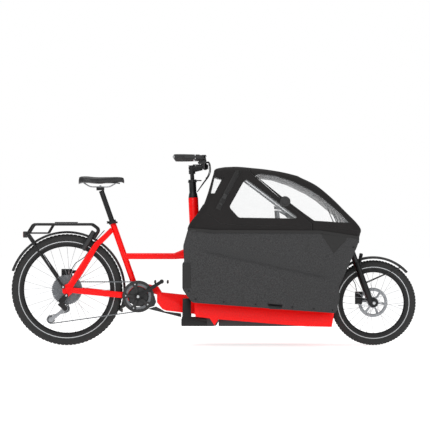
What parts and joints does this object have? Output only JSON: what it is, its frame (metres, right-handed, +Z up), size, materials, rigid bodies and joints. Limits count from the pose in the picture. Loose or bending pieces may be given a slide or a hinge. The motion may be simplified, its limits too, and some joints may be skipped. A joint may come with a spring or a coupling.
{
  "type": "cargo bicycle",
  "caption": "Front-loading electric cargo bicycle with a low red frame, a charcoal child box under a black canopy with clear windows, a rear rack and a folding stand.",
  "frame": {"origin": "on the ground at mid-length in the centre plane, wheels on the ground and the stand folded", "axes": "+X direction of travel, +Y rider's left, +Z up"},
  "size_m": [2.4654, 0.6512, 1.165],
  "materials": {
    "frame_paint": "gloss powder coat",
    "motor_housing": "matte cast and moulded housings",
    "black_alloy": "black anodised and painted aluminium",
    "black_plastic": "moulded",
    "steel": "machined steel",
    "tyre_rubber": "moulded rubber",
    "grip_rubber": "ribbed rubber",
    "saddle_cover": "synthetic leather over foam",
    "box_panel": "charcoal foam panel with a textured skin",
    "canopy_fabric": "coated woven polyester",
    "clear_film": "clear soft film",
    "bench_fabric": "padded woven polyester"
  },
  "bodies": {
    "root": {"rear_triangle": "frame_paint", "seat_tube": "frame_paint", "top_tube": "frame_paint", "down_beam": "frame_paint", "cargo_chassis": "frame_paint", "steering_tubes": "frame_paint", "motor": "motor_housing", "battery_box": "motor_housing", "box_sides": "box_panel", "box_ends": "box_panel", "canopy_shell": "canopy_fabric", "canopy_windows": "clear_film", "canopy_bows": "black_alloy", "child_bench": "bench_fabric", "rear_rack": "black_alloy", "rear_fender": "black_plastic", "lights": "motor_housing", "frame_lock": "motor_housing", "seat_clamp": "black_alloy", "rear_brake": "black_alloy", "derailleur_body": "black_alloy", "chain": "steel"},
    "stand": {"kickstand": "black_alloy"},
    "clamp_lever": {"seat_lever": "black_alloy"},
    "seat": {"seatpost": "black_alloy", "saddle": "saddle_cover"},
    "rear_wheel": {"rear_tyre": "tyre_rubber", "rear_rim": "black_alloy", "rear_spokes": "steel", "rear_hub": "black_alloy", "rear_rotor": "steel"},
    "cassette": {"cassette": "steel"},
    "crank": {"chainring": "steel", "cranks": "black_alloy"},
    "right_pedal": {"right_pedal": "black_plastic"},
    "left_pedal": {"left_pedal": "black_plastic"},
    "cage": {"derailleur_cage": "steel"},
    "guide_pulley": {"guide_pulley": "black_plastic"},
    "tension_pulley": {"tension_pulley": "black_plastic"},
    "column": {"column_clamp": "black_alloy"},
    "height_lever": {"height_lever": "black_alloy"},
    "bar": {"stem": "black_alloy", "handlebar": "black_alloy", "grips": "grip_rubber", "controls": "black_plastic", "bar_hoses": "grip_rubber"},
    "right_brake_lever": {"right_brake_lever": "black_plastic"},
    "left_brake_lever": {"left_brake_lever": "black_plastic"},
    "shift_trigger": {"shift_trigger": "black_plastic"},
    "fork": {"fork": "black_alloy"},
    "lowers": {"fork_lowers": "black_alloy", "front_fender": "black_plastic", "front_brake": "black_alloy"},
    "front_wheel": {"front_tyre": "tyre_rubber", "front_rim": "black_alloy", "front_spokes": "steel", "front_hub": "black_alloy", "front_rotor": "steel"},
    "hood": {"canopy_hood": "canopy_fabric", "hood_windows": "clear_film"}
  },
  "joints": [
    {"name": "handlebar_steer", "type": "hinge", "parent": "root", "child": "column", "pos_m": [-0.125, 0, 0.9], "axis": [-0.047, 0, 0.9989], "range_deg": [-45, 45]},
    {"name": "fork_steer", "type": "hinge", "parent": "root", "child": "fork", "pos_m": [0.925, 0, 0.26], "axis": [-0.3426, 0, 0.9395], "range_deg": [-45, 45]},
    {"name": "handlebar_height", "type": "slide", "parent": "column", "child": "bar", "axis": [-0.047, 0, 0.9989], "range_m": [-0.03, 0.06], "deforming": ["bar_hoses"]},
    {"name": "height_lever_turn", "type": "hinge", "parent": "column", "child": "height_lever", "pos_m": [-0.112, -0.028, 1], "axis": [0, 0, 1], "range_deg": [-90, 0]},
    {"name": "right_brake_pull", "type": "hinge", "parent": "bar", "child": "right_brake_lever", "pos_m": [-0.06517, -0.26075, 1.142], "axis": [0, 0, -1], "range_deg": [0, 10], "stiffness_Nm_per_rad": 3, "springref_deg": -5.73},
    {"name": "left_brake_pull", "type": "hinge", "parent": "bar", "child": "left_brake_lever", "pos_m": [-0.06517, 0.26075, 1.142], "axis": [0, 0, 1], "range_deg": [0, 10], "stiffness_Nm_per_rad": 3, "springref_deg": -5.73},
    {"name": "shift_push", "type": "hinge", "parent": "bar", "child": "shift_trigger", "pos_m": [-0.084, -0.168, 1.096], "axis": [0, 0, -1], "range_deg": [0, 20], "stiffness_Nm_per_rad": 0.5, "springref_deg": -5.73},
    {"name": "fork_travel", "type": "slide", "parent": "fork", "child": "lowers", "axis": [-0.3426, 0, 0.9395], "range_m": [0, 0.05], "stiffness_N_per_m": 6000},
    {"name": "front_wheel_spin", "type": "hinge", "parent": "lowers", "child": "front_wheel", "pos_m": [0.973, 0, 0.2595], "axis": [0, 1, 0], "continuous": true},
    {"name": "rear_wheel_spin", "type": "hinge", "parent": "root", "child": "rear_wheel", "pos_m": [-0.894, 0, 0.339], "axis": [0, 1, 0], "continuous": true},
    {"name": "crank_spin", "type": "hinge", "parent": "root", "child": "crank", "pos_m": [-0.459, 0, 0.2986], "axis": [0, 1, 0], "continuous": true},
    {"name": "cassette_spin", "type": "hinge", "parent": "root", "child": "cassette", "pos_m": [-0.894, 0, 0.339], "axis": [0, 1, 0], "continuous": true},
    {"name": "right_pedal_spin", "type": "hinge", "parent": "crank", "child": "right_pedal", "pos_m": [-0.31562, -0.129, 0.38994], "axis": [0, 1, 0], "continuous": true},
    {"name": "left_pedal_spin", "type": "hinge", "parent": "crank", "child": "left_pedal", "pos_m": [-0.60238, 0.129, 0.20726], "axis": [0, 1, 0], "continuous": true},
    {"name": "cage_swing", "type": "hinge", "parent": "root", "child": "cage", "pos_m": [-0.901, -0.052, 0.226], "axis": [0, 1, 0], "range_deg": [-30, 8], "stiffness_Nm_per_rad": 2, "deforming": ["chain"]},
    {"name": "guide_pulley_spin", "type": "hinge", "parent": "cage", "child": "guide_pulley", "pos_m": [-0.901, -0.052, 0.226], "axis": [0, 1, 0], "continuous": true},
    {"name": "tension_pulley_spin", "type": "hinge", "parent": "cage", "child": "tension_pulley", "pos_m": [-0.988, -0.052, 0.159], "axis": [0, 1, 0], "continuous": true},
    {"name": "stand_fold", "type": "hinge", "parent": "root", "child": "stand", "pos_m": [-0.022, 0, 0.146], "axis": [0, 1, 0], "range_deg": [-90, 0]},
    {"name": "seat_height", "type": "slide", "parent": "root", "child": "seat", "axis": [-0.3318, 0, 0.9433], "range_m": [-0.1, 0.04]},
    {"name": "seat_lever_turn", "type": "hinge", "parent": "root", "child": "clamp_lever", "pos_m": [-0.645, -0.031, 0.749], "axis": [0, 0, 1], "range_deg": [-150, 0]},
    {"name": "hood_open", "type": "hinge", "parent": "root", "child": "hood", "pos_m": [0.214, 0, 1.084], "axis": [0, -1, 0], "range_deg": [0, 75]}
  ],
  "couplings": [
    {"joint": "fork_steer", "follows": "handlebar_steer", "ratio": 1},
    {"joint": "cassette_spin", "follows": "crank_spin", "ratio": 1.8333},
    {"joint": "guide_pulley_spin", "follows": "crank_spin", "ratio": -3.6667},
    {"joint": "tension_pulley_spin", "follows": "crank_spin", "ratio": 3.6667}
  ]
}
